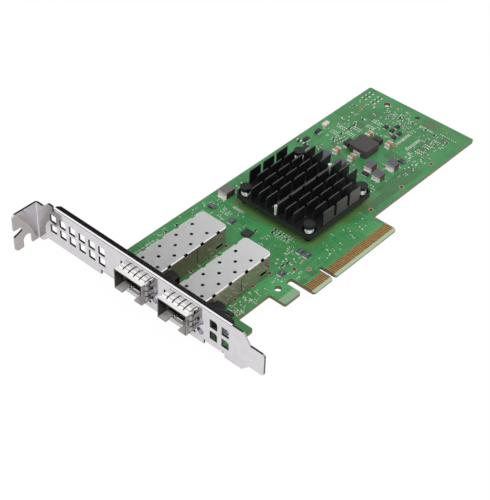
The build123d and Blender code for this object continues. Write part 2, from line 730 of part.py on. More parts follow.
with BuildPart() as chip_leads:
    reach = (small_chip_size[1] + lead_size[1]) / 2
    lead_xs = [(i - (small_chip_leads - 1) / 2) * lead_pitch for i in range(small_chip_leads)]
    with placed(small_chip_spots):
        with Locations(*[(x, way * reach) for x in lead_xs for way in (-1, 1)]):
            Box(*lead_size, align=on_floor)
chip_leads.part.label = "chip_leads"
export_step(chip_leads.part, "parts/chip_leads.step")

with BuildPart() as clock_chip:
    with Locations(clock_chip_at):
        Box(*clock_chip_size, align=on_floor)
clock_chip.part.label = "clock_chip"
export_step(clock_chip.part, "parts/clock_chip.step")

with BuildPart() as crystal:
    with Locations(crystal_at):
        Box(*crystal_size, align=on_floor)
    chamfer(crystal.edges().filter_by(Axis.Z), crystal_corner)
crystal.part.label = "crystal"
export_step(crystal.part, "parts/crystal.step")

# Capacitors on the solder side, under the controller
with BuildPart() as under_capacitors:
    with placed(under_spots, board_bottom):
        Box(*under_capacitor_size, align=hanging)
under_capacitors.part.label = "under_capacitors"
export_step(under_capacitors.part, "parts/under_capacitors.step")
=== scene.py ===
import json
import math
import random

import bmesh
import bpy
from mathutils import Matrix, Vector


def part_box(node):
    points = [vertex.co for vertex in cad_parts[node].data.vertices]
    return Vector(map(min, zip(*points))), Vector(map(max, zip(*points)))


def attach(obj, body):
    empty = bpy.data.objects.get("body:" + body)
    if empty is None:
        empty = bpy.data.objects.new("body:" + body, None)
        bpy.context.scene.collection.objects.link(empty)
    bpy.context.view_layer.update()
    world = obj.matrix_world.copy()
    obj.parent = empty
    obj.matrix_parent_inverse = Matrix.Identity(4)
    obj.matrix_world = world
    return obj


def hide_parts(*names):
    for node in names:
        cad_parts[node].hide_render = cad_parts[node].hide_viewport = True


# A dual-port network interface card, lying component side up on a white floor.
# Lengths are in metres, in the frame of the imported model: X runs along the card, Y up from the contact
# edge and Z out of the component side. The origin is at the key notch. Places on the board that aren't
# multiplied by mm are in millimetres.

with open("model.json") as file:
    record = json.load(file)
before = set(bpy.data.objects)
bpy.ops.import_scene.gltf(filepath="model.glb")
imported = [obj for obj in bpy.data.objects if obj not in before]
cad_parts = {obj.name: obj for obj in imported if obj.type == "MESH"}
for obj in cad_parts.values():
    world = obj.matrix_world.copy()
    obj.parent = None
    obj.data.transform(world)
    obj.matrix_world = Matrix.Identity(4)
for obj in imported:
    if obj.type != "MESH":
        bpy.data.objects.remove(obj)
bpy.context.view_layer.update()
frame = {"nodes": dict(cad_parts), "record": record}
nodes = frame["nodes"]
mm = 0.001

# Camera, fitted to the photograph
camera_place = Vector((-308.49, -217.63, 345.86)) * mm
camera_yaw = math.radians(49.66)
camera_pitch = math.radians(-41.53)
camera_roll = math.radians(2.305)
focal_pixels = 1329.8
image_width = 490
centre_offset = (3.0, -1.56)
sensor_width = 36.0

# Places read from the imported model
board_low, board_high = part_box("pcb")
bracket_low, bracket_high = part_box("bracket")
heatsink_low, heatsink_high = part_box("heatsink")
contacts_low, contacts_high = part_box("edge_contacts_top")
spring_low, spring_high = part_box("push_pin_springs")
cage_low, cage_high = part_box("port_1_cage")
collar_low, collar_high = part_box("port_1_emi_spring")
heatsink_middle = (heatsink_low + heatsink_high) / 2
heatsink_half = (heatsink_high.x - heatsink_low.x) / 2
fin_floor = heatsink_low.z + 2.4 * mm
bracket_face = bracket_low.x + 12.1 * mm
collar_middle = (collar_low.z + collar_high.z) / 2

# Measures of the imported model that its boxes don't give. The ports' middles lie along Y.
port_middles = (49.3, 26.5)
port_pitch = (port_middles[0] - port_middles[1]) * mm
cage_split = 4 * mm
roof_sheet = 0.4 * mm
shoulder_depth = 2.5 * mm
collar_start = cage_low.x + 1.6 * mm
collar_corner = 5.3 * mm
crease = (cage_low.x + 2.35 * mm, cage_low.x + 2.75 * mm)
side_slit_pitch = 2.75 * mm
slit_half = 0.45 * mm
lens_radius = 1.4 * mm
spring_half = 2.1 * mm
hook_x = -20.15

# How much of a face's normal lies along an axis if the face looks that way, and if it does so squarely
looks = 0.7
squarely = 0.8

# The low wall along the middle of the heatsink
wall_length, wall_thickness, wall_height = 35.0, 0.4, 3.5
wall_shift = -2.2


def paint(*levels):
    """A colour for a node's socket, from the 0 to 255 levels of a screen colour."""
    return (*((c / 255 / 12.92) if c <= 10 else ((c / 255 + 0.055) / 1.055) ** 2.4 for c in levels), 1)


class Nodes:
    """A short way to write a node tree. A share is 1 where something holds and 0 elsewhere."""

    bump_depth = 0.05 * mm

    def __init__(self, owner):
        self.tree = owner.node_tree
        self.coords = self.add("ShaderNodeTexCoord").outputs["Object"]

    def add(self, kind, inputs=None, **settings):
        node = self.tree.nodes.new(kind)
        for name, value in settings.items():
            setattr(node, name, value)
        for name, value in (inputs or {}).items():
            self.feed(node.inputs[name], value)
        return node

    def feed(self, socket, value):
        if isinstance(value, bpy.types.NodeSocket):
            self.tree.links.new(value, socket)
        else:
            socket.default_value = value

    def math(self, operation, a, b=0.0):
        return self.add("ShaderNodeMath", {0: a, 1: b}, operation=operation).outputs[0]

    def both(self, share, *others):
        """Where every share holds: the product."""
        for other in others:
            share = self.math("MULTIPLY", share, other)
        return share

    def either(self, share, *others):
        """Where at least one share holds: the greatest."""
        for other in others:
            share = self.math("MAXIMUM", share, other)
        return share

    def rest(self, share):
        """Where a share doesn't hold."""
        return self.minus(1.0, share)

    def above(self, value, limit):
        return self.math("GREATER_THAN", value, limit)

    def below(self, value, limit):
        return self.math("LESS_THAN", value, limit)

    def between(self, value, low, high):
        return self.both(self.above(value, low), self.below(value, high))

    def size(self, value):
        return self.math("ABSOLUTE", value)

    def plus(self, a, b):
        return self.math("ADD", a, b)

    def minus(self, a, b):
        return self.math("SUBTRACT", a, b)

    def off(self, value, middle):
        """How far a value lies from a middle, on either side."""
        return self.size(self.minus(value, middle))

    def distance(self, a, b):
        """The length of a step that goes a along one axis and b along another."""
        return self.math("SQRT", self.plus(self.both(a, a), self.both(b, b)))

    def turns(self, value, pitch, start):
        """A value counted in pitches from a start."""
        return self.math("DIVIDE", self.minus(value, start), pitch)

    def axes(self, vector):
        return self.add("ShaderNodeSeparateXYZ", {0: vector}).outputs

    def place(self):
        return self.axes(self.coords)

    def facing(self):
        """The way that a face looks."""
        return self.axes(self.add("ShaderNodeNewGeometry").outputs["Normal"])

    def noise(self, scale, detail=3.0, stretch=(1, 1, 1)):
        spread = self.add("ShaderNodeMapping", {"Vector": self.coords, "Scale": stretch})
        return self.add("ShaderNodeTexNoise", {"Vector": spread.outputs[0], "Scale": scale,
                                               "Detail": detail, "Roughness": 0.55}).outputs["Fac"]

    def remap(self, value, low, high, to_low, to_high):
        return self.add("ShaderNodeMapRange", {"Value": value, "From Min": low, "From Max": high,
                                               "To Min": to_low, "To Max": to_high}).outputs["Result"]

    def wander(self, noise, low=0.0, high=1.0, half=0.2):
        """The middle stretch of a noise, spread from low to high."""
        return self.remap(noise, 0.5 - half, 0.5 + half, low, high)

    def blend(self, share, a, b):
        node = self.add("ShaderNodeMix", data_type="RGBA")
        self.feed(node.inputs[0], share)
        self.feed(node.inputs[6], a)
        self.feed(node.inputs[7], b)
        return node.outputs[2]

    def tint(self, share, strength, under, over):
        """A colour laid over another at some strength where a share holds."""
        return self.blend(self.both(share, strength), under, over)

    def shades(self, share, tone, spread):
        """A tone that goes from somewhat darker to somewhat paler."""
        return self.blend(share, paint(*(c - spread for c in tone)), paint(*(c + spread for c in tone)))

    def bump(self, height, strength):
        return self.add("ShaderNodeBump", {"Height": height, "Strength": strength,
                                           "Distance": self.bump_depth}).outputs["Normal"]


def started(name):
    """A new material, with its node tree and its shader."""
    material = bpy.data.materials.new(name)
    material.use_nodes = True
    nt = Nodes(material)
    return material, nt, nt.tree.nodes["Principled BSDF"]


def shaded(name, dark, light, rough, metallic=0.0, grain=900.0, bump=0.0, **sockets):
    """A material whose colour wanders between two tones, with a matching change of roughness."""
    material, nt, shader = started(name)
    speck = nt.noise(grain)
    nt.feed(shader.inputs["Base Color"], nt.blend(nt.wander(speck), paint(*dark), paint(*light)))
    nt.feed(shader.inputs["Roughness"], nt.wander(speck, *rough))
    shader.inputs["Metallic"].default_value = metallic
    if bump:
        nt.feed(shader.inputs["Normal"], nt.bump(speck, bump))
    for socket, value in sockets.items():
        shader.inputs[socket.replace("_", " ")].default_value = value
    return material


# Areas of the board for the mask's tones: low corner, high corner
dark_areas = [((91, 52), (97, 56)), ((80, 52), (86, 57)), ((98.5, 18.5), (103, 22.8)), ((52, 55), (57, 58.5)),
              ((-6, 6.4), (-2.2, 9.2)), ((-12, 6), (-8.6, 8.6)), ((73, 27), (79, 33)), ((64, 52.5), (72, 55)),
              ((103.6, 27.7), (108, 35.2)), ((86, 23), (96, 26.5)), ((38, 14.2), (77, 18.2)),
              ((53, 18.2), (77, 21.5))]
hook_area = ((hook_x - 4.7, 3.5), (hook_x + 4.7, 7.4))
trace_areas = [((2, 6.8), (24, 20)), ((24, 6.8), (47, 17.5)), ((47.5, 19), (58, 38))]
field_area = ((104, 28), (107.8, 35))
trace_pitch = 1.25 * mm
trace_share = 0.38
trace_bend = 9 * mm
trace_slope = 0.57
field_pitch = 0.8 * mm
field_spot = 0.3

# Where the mask gets painted shade along X, far from the bracket and near it, and how far the painted shade
# round the heatsink reaches
far_shade = (0.05, 0.09)
near_shade = (-0.05, -0.02)
dusk_reach = 2.8 * mm
dusk_wander = 0.9 * mm

# A count of pitches starts a metre before the origin, so that it's positive all over the card
count_start = -1.0


def inside(nt, place, low, high):
    """The share of a rectangle of the board, in millimetres."""
    return nt.both(*(nt.between(place[axis], low[axis] * mm, high[axis] * mm) for axis in (0, 1)))


def mask_tones(nt, place, broad, fine, patch):
    """The mask's green, with broad and fine changes, square patches and dark areas, and painted shade towards
    both ends.
    """
    green = nt.blend(nt.wander(broad, half=0.15), paint(44, 114, 58), paint(60, 138, 78))
    green = nt.tint(nt.above(patch, 0.8), 0.3, green, paint(52, 122, 68))
    # Painted shade: darker green far from the bracket, olive near it
    green = nt.blend(nt.remap(place[0], *far_shade, 0.0, 0.6), green, paint(40, 108, 52))
    green = nt.blend(nt.remap(place[0], *near_shade, 0.65, 0.0), green, paint(48, 88, 30))
    for area in dark_areas:
        green = nt.tint(inside(nt, place, *area), 0.8, green, paint(48, 84, 46))
    return nt.blend(nt.wander(fine, 0.0, 0.18, half=0.15), green, paint(104, 172, 112))


def fine_copper(nt, green, patch):
    """Thin copper under the mask, along X in some patches and along Y in others."""
    along_x, along_y = (nt.remap(nt.noise(1000.0, 1.0, stretch), 0.5, 0.56, 0.0, 1.0)
                        for stretch in ((0.08, 1, 1), (1, 0.08, 1)))
    lines = nt.plus(nt.both(along_x, nt.below(patch, 0.4)), nt.both(along_y, nt.above(patch, 0.7)))
    return nt.tint(lines, 0.4, green, paint(34, 94, 48))


def traces(nt, green, place):
    """Traces that run up from the contacts and then slant towards the controller."""
    slant = nt.both(nt.either(nt.minus(place[1], trace_bend), 0.0), trace_slope)
    count = nt.turns(nt.minus(place[0], slant), trace_pitch, count_start)
    line = nt.below(nt.math("FRACT", count), trace_share)
    own = nt.add("ShaderNodeTexWhiteNoise", {"W": nt.math("FLOOR", count)}, noise_dimensions="1D")
    depth = nt.remap(own.outputs["Value"], 0.0, 1.0, 0.15, 1.0)
    area = nt.either(*(inside(nt, place, *area) for area in trace_areas))
    broken = nt.remap(nt.noise(160.0, 1.0, (1, 0.2, 1)), 0.36, 0.46, 0.2, 1.0)
    return nt.tint(nt.both(line, depth, area, broken), 0.85, green, paint(36, 102, 54))


def bare_field(nt, green, place):
    """Rows of bare spots on an empty package outline."""
    steps = [nt.minus(nt.math("FRACT", nt.turns(place[axis], field_pitch, count_start)), 0.5)
             for axis in (0, 1)]
    dots = nt.both(nt.below(nt.distance(*steps), field_spot), inside(nt, place, *field_area))
    return nt.tint(dots, 0.8, green, paint(120, 96, 84))


def dusk(nt, green, place, facing, broad):
    """Painted shade: a warm darkening round the heatsink, on the component side."""
    beyond = [nt.minus(nt.off(place[axis], heatsink_middle[axis]), heatsink_half) for axis in (0, 1)]
    away = nt.plus(nt.either(*beyond), nt.wander(broad, -dusk_wander, dusk_wander))
    share = nt.both(nt.remap(away, 0.0, dusk_reach, 0.6, 0.0), nt.above(facing[2], 0.5))
    return nt.blend(share, green, paint(84, 96, 44))


def solder_mask():
    """Green mask over copper, with painted shade towards its ends and round the heatsink, the strip and tip of
    the edge connector, and laminate edges.
    """
    material, nt, shader = started("solder_mask")
    place, facing = nt.place(), nt.facing()
    broad = nt.noise(45.0, 2.0)
    fine = nt.noise(1400.0, 4.0)
    cells = nt.add("ShaderNodeTexVoronoi", {"Vector": nt.coords, "Scale": 110.0, "Randomness": 0.9},
                   distance="CHEBYCHEV")
    patch = nt.axes(cells.outputs["Color"])[0]
    colour = mask_tones(nt, place, broad, fine, patch)
    colour = fine_copper(nt, colour, patch)
    colour = traces(nt, colour, place)
    colour = bare_field(nt, colour, place)
    colour = dusk(nt, colour, place, facing, broad)
    colour = nt.tint(inside(nt, place, *hook_area), 0.85, colour, paint(128, 152, 122))
    connector = nt.above(place[0], contacts_low.x - 1.2 * mm)
    strip = nt.both(nt.below(place[1], contacts_high.y - 0.1 * mm), connector)
    colour = nt.blend(strip, colour, paint(48, 33, 18))
    tip = nt.both(nt.below(place[1], contacts_low.y), connector)
    colour = nt.blend(tip, colour, paint(146, 166, 136))
    laminate = nt.blend(nt.noise(2600.0, stretch=(0.2, 0.2, 3)), paint(74, 70, 44), paint(106, 96, 66))
    edge = nt.below(nt.size(facing[2]), 0.5)
    nt.feed(shader.inputs["Base Color"], nt.blend(edge, colour, laminate))
    nt.feed(shader.inputs["Roughness"], nt.wander(fine, 0.34, 0.46))
    nt.feed(shader.inputs["Normal"], nt.bump(nt.noise(900.0, 2.0), 0.08))
    return material


def sheet_steel(name, top, side, rough, top_metal, side_metal, zones):
    """Plated sheet painted lit on level faces and shaded on its streaked upright faces. The zones say where it
    gets painted shade, dark and grey, and painted light, pale.
    """
    material, nt, shader = started(name)
    place, facing = nt.place(), nt.facing()
    grain = nt.noise(300.0, 1.0)
    level = nt.above(nt.size(facing[2]), looks)
    dark, grey, pale = zones(nt, place, facing)
    # Painted light and shade: a lit tone on level faces, a shaded tone on upright ones
    colour = nt.blend(level, nt.shades(nt.noise(150.0, 3.0, (0.4, 1, 1)), side, 20), nt.shades(grain, top, 3))
    # Painted shade in the grey and dark zones, painted light in the pale one
    colour = nt.blend(grey, colour, paint(84, 82, 82))
    colour = nt.blend(pale, colour, paint(196, 192, 188))
    nt.feed(shader.inputs["Base Color"], nt.blend(dark, colour, paint(14, 14, 15)))
    metal = nt.remap(level, 0.0, 1.0, side_metal, top_metal)
    nt.feed(shader.inputs["Metallic"], nt.both(metal, nt.rest(nt.either(dark, pale))))
    smooth = nt.remap(level, 0.0, 1.0, 0.4 * rough, rough)
    nt.feed(shader.inputs["Roughness"], nt.plus(smooth, nt.wander(grain, -0.02, 0.02)))
    return material


def off_port(nt, place):
    """How far a point lies past the middle of the nearest port along Y, negative before it."""
    count = nt.plus(nt.turns(place[1], port_pitch, port_middles[1] * mm), 0.5)
    return nt.both(nt.minus(nt.math("FRACT", count), 0.5), port_pitch)


def at_corner(nt, place):
    """The share beyond the outer fingers on top of a port's collar."""
    return nt.above(nt.size(off_port(nt, place)), collar_corner)


def cage_light_and_shade(nt, place, facing):
    """Painted shade: dark under the roof, on the deep floor and behind the collar's slits, and grey inside the
    mouth. Painted light: pale on the lip of the mouth and on the upper part of the walls beside the collar."""
    up = nt.above(facing[2], looks)
    upright = nt.below(nt.size(facing[2]), looks)
    mouth = nt.below(place[0], bracket_face)
    low = nt.below(place[2], cage_split)
    roof = nt.both(nt.below(facing[2], -looks), nt.above(place[2], cage_split))
    deep_floor = nt.both(up, nt.above(place[0], bracket_face + 1 * mm), low)
    under_collar = nt.between(place[0], collar_start + 0.1 * mm, bracket_face)
    corner = at_corner(nt, place)
    roof_front = nt.both(under_collar, nt.above(place[2], cage_high.z - roof_sheet), nt.rest(corner))
    wall = nt.both(corner, upright, under_collar)
    outward = nt.above(nt.both(off_port(nt, place), facing[1]), 0.0)
    from_slit = nt.off(nt.off(place[2], collar_middle), side_slit_pitch / 2)
    side_slits = nt.both(nt.below(from_slit, slit_half), wall, outward)
    shoulder = nt.both(wall, nt.above(place[2], cage_high.z - shoulder_depth))
    # Painted shade, dark and grey, then painted light, pale
    return (nt.either(roof, deep_floor, roof_front, side_slits), nt.both(mouth, upright),
            nt.either(nt.both(up, low, mouth), shoulder))


def collar_light_and_shade(nt, place, facing):
    """Painted shade: dark walls in the slits between the fingers and a grey crease in front. Painted light: a
    pale lip under the mouth.
    """
    roof = cage_high.z + 0.02 * mm
    lip_height = cage_low.z + 1.5 * mm
    fingers = nt.above(place[0], collar_start)
    across = nt.size(facing[1])
    top_slits = nt.both(nt.above(across, squarely), nt.above(place[2], roof),
                        nt.rest(nt.both(at_corner(nt, place), 0.7)))
    side_slits = nt.both(nt.above(nt.size(facing[2]), squarely),
                         nt.between(place[2], lip_height, roof - 0.6 * mm))
    grey = nt.both(nt.between(place[0], *crease), nt.remap(across, 0.3, 0.7, 0.6, 0.15))
    lip = nt.both(nt.above(facing[2], looks), nt.below(place[2], lip_height))
    # Painted shade, dark and grey, then painted light on the lip
    return nt.both(fingers, nt.either(top_slits, side_slits)), grey, lip


def lens_plastic():
    """Clear plastic, shaded at the edge of each lens that the port keeps the light from."""
    material = shaded("clear_plastic", (140, 136, 150), (166, 162, 176), (0.12, 0.18), 0.0, 400,
                      Transmission_Weight=0.15, IOR=1.49)
    nt = Nodes(material)
    colour = nt.tree.nodes["Principled BSDF"].inputs["Base Color"]
    place = nt.place()
    spots = []
    for number in (1, 2):
        low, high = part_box(f"port_{number}_light_pipes")
        for height in (low.z + lens_radius, high.z - lens_radius):
            across = nt.minus(place[1], (low.y + high.y) / 2 + 0.6 * lens_radius)
            over = nt.minus(place[2], height + 0.5 * lens_radius)
            spots.append(nt.remap(nt.distance(across, over), 0.45 * lens_radius, 0.75 * lens_radius, 0.95, 0.0))
    plain = colour.links[0].from_socket
    nt.feed(colour, nt.blend(nt.either(*spots), plain, paint(22, 20, 26)))
    return material


def plated():
    """Bright plated sheet, with painted shade: darker towards the bottom of the bent tab and dark on the cut
    walls of its openings.
    """
    material = shaded("nickel_sheet", (205, 202, 205), (214, 211, 214), (0.08, 0.11), 1.0, 260)
    nt = Nodes(material)
    shader = nt.tree.nodes["Principled BSDF"]
    place, facing = nt.place(), nt.facing()
    plain = shader.inputs["Base Color"].links[0].from_socket
    # Painted shade, darker towards the bottom of the bent tab
    on_tab = nt.below(place[0], bracket_face - 0.5 * mm)
    rise = nt.plus(place[2], nt.minus(place[0], bracket_low.x))
    shading_ramp = nt.plus(rise, nt.wander(nt.noise(120.0, 1.0), -2 * mm, 2 * mm))
    plain = nt.tint(on_tab, nt.remap(shading_ramp, 9 * mm, 15 * mm, 0.85, 0.0), plain, paint(164, 158, 154))
    # Painted shade on the cut walls of the openings
    cut = nt.both(nt.above(nt.size(facing[1]), 0.9), nt.below(place[1], bracket_high.y - 1.5 * mm))
    nt.feed(shader.inputs["Base Color"], nt.blend(cut, plain, paint(18, 18, 20)))
    nt.feed(shader.inputs["Metallic"], nt.rest(cut))
    return material


def face_shaded(name, top, front, side):
    """A block painted with lit and shaded tones: one on top, one on its faces along X and one on its other
    sides.
    """
    material, nt, shader = started(name)
    speck = nt.noise(1500.0)
    facing = nt.facing()
    sides, fronts, tops = (nt.shades(nt.wander(speck), tone, 8) for tone in (side, front, top))
    along, up = (nt.above(nt.size(facing[axis]), looks) for axis in (0, 2))
    # Painted light and shade by the way each face looks
    nt.feed(shader.inputs["Base Color"], nt.blend(up, nt.blend(along, sides, fronts), tops))
    nt.feed(shader.inputs["Roughness"], nt.wander(speck, 0.44, 0.56))
    nt.feed(shader.inputs["Normal"], nt.bump(speck, 0.2))
    return material


def anodised():
    """Black anodised fins, with painted light: a paler base, painted highlights on their ridges and on the low
    wall's top, outer faces painted paler along X, and crests that are partly painted highlight and partly their
    paler cut tops.
    """
    material, nt, shader = started("black_anodised")
    place, facing = nt.place(), nt.facing()
    height = place[2]
    level = nt.above(facing[2], squarely)
    grain = nt.noise(1200.0)
    wall_top = fin_floor + wall_height * mm
    base = nt.below(height, fin_floor - 0.05 * mm)
    ridge = nt.between(height, fin_floor + 0.05 * mm, fin_floor + 0.6 * mm)
    outer = nt.both(nt.below(place[1], heatsink_low.y + 0.8 * mm), nt.below(facing[1], -squarely),
                    nt.above(height, fin_floor))
    shading_ramp = nt.remap(place[0], heatsink_low.x, heatsink_high.x, 0.1, 1.0)
    wall = nt.both(nt.between(height, wall_top - 0.1 * mm, wall_top + 0.5 * mm), level)
    crest = nt.both(nt.above(height, heatsink_high.z - 0.5 * mm), level)
    black = nt.blend(grain, paint(10, 10, 11), paint(22, 22, 24))
    # Painted light: a paler base, painted highlights on the ridge and on the wall's top, outer faces painted
    # paler along X
    black = nt.blend(base, black, paint(34, 32, 33))
    black = nt.blend(ridge, black, paint(52, 50, 52))
    black = nt.tint(outer, shading_ramp, black, paint(92, 86, 86))
    black = nt.blend(wall, black, paint(86, 83, 86))
    # Crests: partly painted highlight, partly paler cut tops
    nt.feed(shader.inputs["Base Color"], nt.blend(crest, black, paint(62, 61, 64)))
    nt.feed(shader.inputs["Roughness"], nt.wander(grain, 0.38, 0.5))
    shader.inputs["Metallic"].default_value = 0.2
    return material


finishes = {
    "solder_mask": solder_mask(),
    "gold": shaded("gold", (142, 108, 56), (180, 143, 86), (0.28, 0.4), 0.6, 700),
    "nickel_sheet": plated(),
    "screw_steel": shaded("screw_steel", (190, 190, 192), (215, 215, 216), (0.25, 0.4), 1.0, 800),
    # Cage and collar sheet, painted lit on top and shaded on the sides, with painted light and shade zones
    "cage_steel": sheet_steel("cage_steel", (241, 241, 240), (166, 150, 136), 0.3, 0.9, 0.75, cage_light_and_shade),
    "spring_steel": sheet_steel("spring_steel", (226, 225, 223), (160, 156, 154), 0.4, 0.1, 0.8, collar_light_and_shade),
    "black_plastic": shaded("black_plastic", (8, 8, 9), (16, 16, 18), (0.3, 0.4), 0.0, 1500, bump=0.1,
                            Specular_IOR_Level=0.35),
    "clear_plastic": lens_plastic(),
    "black_anodised": anodised(),
    "bright_wire": shaded("bright_wire", (205, 205, 206), (232, 232, 233), (0.12, 0.2), 1.0),
    "thermal_pad": shaded("thermal_pad", (140, 140, 148), (165, 165, 172), (0.7, 0.85), 0.0, 1500),
    "substrate": shaded("substrate", (40, 92, 52), (52, 110, 64), (0.4, 0.55), 0.0, 1200),
    "lid_metal": shaded("lid_metal", (180, 178, 176), (200, 198, 196), (0.3, 0.45), 1.0, 700),
    "ferrite": shaded("ferrite", (52, 46, 46), (72, 65, 64), (0.55, 0.7), 0.0, 1800, bump=0.3),
    # Ferrite blocks painted lit and shaded by the way each face looks
    "grey_ferrite": face_shaded("grey_ferrite", (80, 75, 90), (138, 133, 130), (84, 62, 54)),
    "tin": shaded("tin", (204, 200, 196), (232, 230, 226), (0.35, 0.5), 0.45, 1300),
    "tan_ceramic": shaded("tan_ceramic", (138, 102, 74), (168, 128, 98), (0.4, 0.55), 0.0, 1500),
    "resistor_body": shaded("resistor_body", (26, 28, 34), (44, 47, 56), (0.3, 0.42), 0.0, 1500),
    "chip_plastic": shaded("chip_plastic", (34, 34, 37), (50, 50, 54), (0.5, 0.62), 0.0, 2200, bump=0.15),
    "crystal_ceramic": shaded("crystal_ceramic", (192, 184, 172), (212, 205, 196), (0.35, 0.5), 0.2),
}

# Finishes of single nodes and pieces that differ from their slot's tone
own_finishes = {
    "heatsink_posts": shaded("post_metal", (196, 194, 190), (222, 220, 216), (0.4, 0.5), 0.1),
    "power_resistor_ends": shaded("dull_tin", (80, 78, 82), (108, 106, 110), (0.4, 0.5), 0.2, 1300),
    "top_inductor_bodies": face_shaded("top_ferrite", (98, 94, 92), (168, 165, 162), (46, 41, 38)),
}
window_blue = shaded("window_blue", (92, 97, 120), (116, 120, 142), (0.3, 0.4))
pad_tin = shaded("pad_tin", (176, 182, 168), (214, 216, 206), (0.35, 0.5), 0.2, 500)
print_grey = shaded("print_grey", (132, 132, 138), (154, 154, 160), (0.4, 0.5))
bare_copper = shaded("bare_copper", (84, 92, 56), (120, 110, 78), (0.4, 0.5), 0.1, 1500)
hole_copper = shaded("hole_copper", (150, 112, 92), (186, 158, 140), (0.35, 0.45), 0.5, 1500)
# Painted shade: the dark floor inside each port
port_floor_shade = shaded("port_floor_shade", (48, 47, 47), (72, 70, 69), (0.4, 0.5), 0.6, 300)

for row in frame["record"]["subparts"]:
    node = nodes[row["node"]]
    node.data.materials.clear()
    node.data.materials.append(own_finishes.get(row["node"], finishes[row["material_slot"]]))


def softened(name, width):
    """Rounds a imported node's sharp edges a little, so that they catch the light."""
    bevel = nodes[name].modifiers.new("edge_rounding", "BEVEL")
    bevel.width = width
    bevel.segments = 2
    bevel.limit_method = "ANGLE"
    bevel.angle_limit = math.radians(40)
    bevel.harden_normals = False


softened("heatsink", 0.12 * mm)
softened("main_inductor", 0.3 * mm)
for name in ("square_inductor_bodies", "ferrite_bead_bodies", "square_inductor_ends", "ferrite_bead_ends",
             "top_inductor_bodies", "top_inductor_ends", "push_pins"):
    softened(name, 0.15 * mm)


def piece(name, mesh, finish, material=None):
    """An object made here that rides on the card, in the finish of a slot unless it has its own."""
    obj = bpy.data.objects.new(name, mesh)
    bpy.context.scene.collection.objects.link(obj)
    mesh.materials.append(material or finishes[finish])
    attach(obj, "root")
    return obj


def heading(angle):
    """A step of one unit at an angle in radians, seen from above."""
    return Vector((math.cos(angle), math.sin(angle), 0))


def skin(bm, loops):
    """Faces between each loop of points and the next."""
    for a, b in zip(loops, loops[1:]):
        for k in range(len(a)):
            after = (k + 1) % len(a)
            bm.faces.new((a[k], b[k], b[after], a[after]))


def into_mesh(bm, name):
    """A mesh with its faces turned outwards. The shape that it's made from is used up."""
    bmesh.ops.recalc_face_normals(bm, faces=bm.faces)
    mesh = bpy.data.meshes.new(name)
    bm.to_mesh(mesh)
    bm.free()
    return mesh


def coil_mesh(name, centres, radius, wire, low, high, turns):
    """Coils of round wire, one round each centre, from low to high. The wire is given by its radius."""
    around, sides = 20, 8
    steps = int(turns * around)
    bm = bmesh.new()
    for centre in centres:
        loops = []
        for i in range(steps + 1):
            out = heading(2 * math.pi * i / around)
            middle = Vector((*centre, low + wire + (high - low - 2 * wire) * i / steps)) + out * radius
            corners = (2 * math.pi * k / sides for k in range(sides))
            loops.append([bm.verts.new(middle + wire * (out * math.cos(a) + Vector((0, 0, math.sin(a)))))
                          for a in corners])
        skin(bm, loops)
        bm.faces.new(loops[0])
        bm.faces.new(list(reversed(loops[-1])))
    mesh = into_mesh(bm, name)
    for face in mesh.polygons:
        face.use_smooth = True
    return mesh


# Coil springs in place of the plain sleeves, with a small gap between their turns
spring_wire = 0.28 * mm
spring_radius = 1.75 * mm
turn_pitch = 2.2 * spring_wire
spring_turns = (spring_high.z - spring_low.z - 2 * spring_wire) / turn_pitch
pin_centres = [(x, y) for x in (spring_low.x + spring_half, spring_high.x - spring_half)
               for y in (spring_low.y + spring_half, spring_high.y - spring_half)]
coils = piece("pin_coils", coil_mesh("pin_coils", pin_centres, spring_radius, spring_wire, spring_low.z,
                                     spring_high.z, spring_turns), "bright_wire")
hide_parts("push_pin_springs")


class Shapes:
    """Small blocks, discs and rings that share one mesh. Sizes and places are in millimetres."""

    disc_sides = 10
    ring_sides = 18

    def __init__(self):
        self.bm = bmesh.new()

    def block(self, x, y, size, turn=0.0, low=0.0):
        place = (Matrix.Translation(Vector((x, y, low + size[2] / 2)) * mm)
                 @ Matrix.Rotation(math.radians(turn), 4, "Z") @ Matrix.Diagonal((*(s * mm for s in size), 1)))
        bmesh.ops.create_cube(self.bm, size=1.0, matrix=place)

    def disc(self, x, y, radius, height, low=0.0):
        bmesh.ops.create_cone(self.bm, cap_ends=True, segments=self.disc_sides, radius1=radius * mm,
                              radius2=radius * mm, depth=height * mm,
                              matrix=Matrix.Translation(Vector((x, y, low + height / 2)) * mm))

    def ring(self, x, y, outer, inner, height):
        headings = [heading(2 * math.pi * k / self.ring_sides) for k in range(self.ring_sides)]
        skin(self.bm, [[self.bm.verts.new((Vector((x, y, level)) + radius * out) * mm) for out in headings]
                       for radius, level in ((outer, 0), (outer, height), (inner, height), (inner, 0))])

    def finished(self, name, finish, material=None):
        return piece(name, into_mesh(self.bm, name), finish, material)


pads, under_pads, dark_bodies, tan_bodies, gold_spots, bare_spots, rings = (Shapes() for _ in range(7))
windows, window_rims, window_faces, joints, wall, plates = (Shapes() for _ in range(6))
graph = bpy.context.evaluated_depsgraph_get()
pad_height = 0.04
board_under = board_low.z / mm
ray_start = 30
flat = 0.01 * mm


def free(x, y, reach=0.5, side=1):
    """Whether nothing but bare board lies at a spot and round it, with side -1 for the solder side."""
    face = board_high.z if side > 0 else board_low.z
    for dx, dy in ((0, 0), (reach, 0), (-reach, 0), (0, reach), (0, -reach)):
        start = Vector((x + dx, y + dy, side * ray_start)) * mm
        hit, where, _, _, found, _ = bpy.context.scene.ray_cast(graph, start, Vector((0, 0, -side)))
        if not hit or found.name != nodes["pcb"].name or abs(where.z - face) > flat:
            return False
    return True


def along(turn):
    """A step of one millimetre at a turn in degrees."""
    return heading(math.radians(turn))


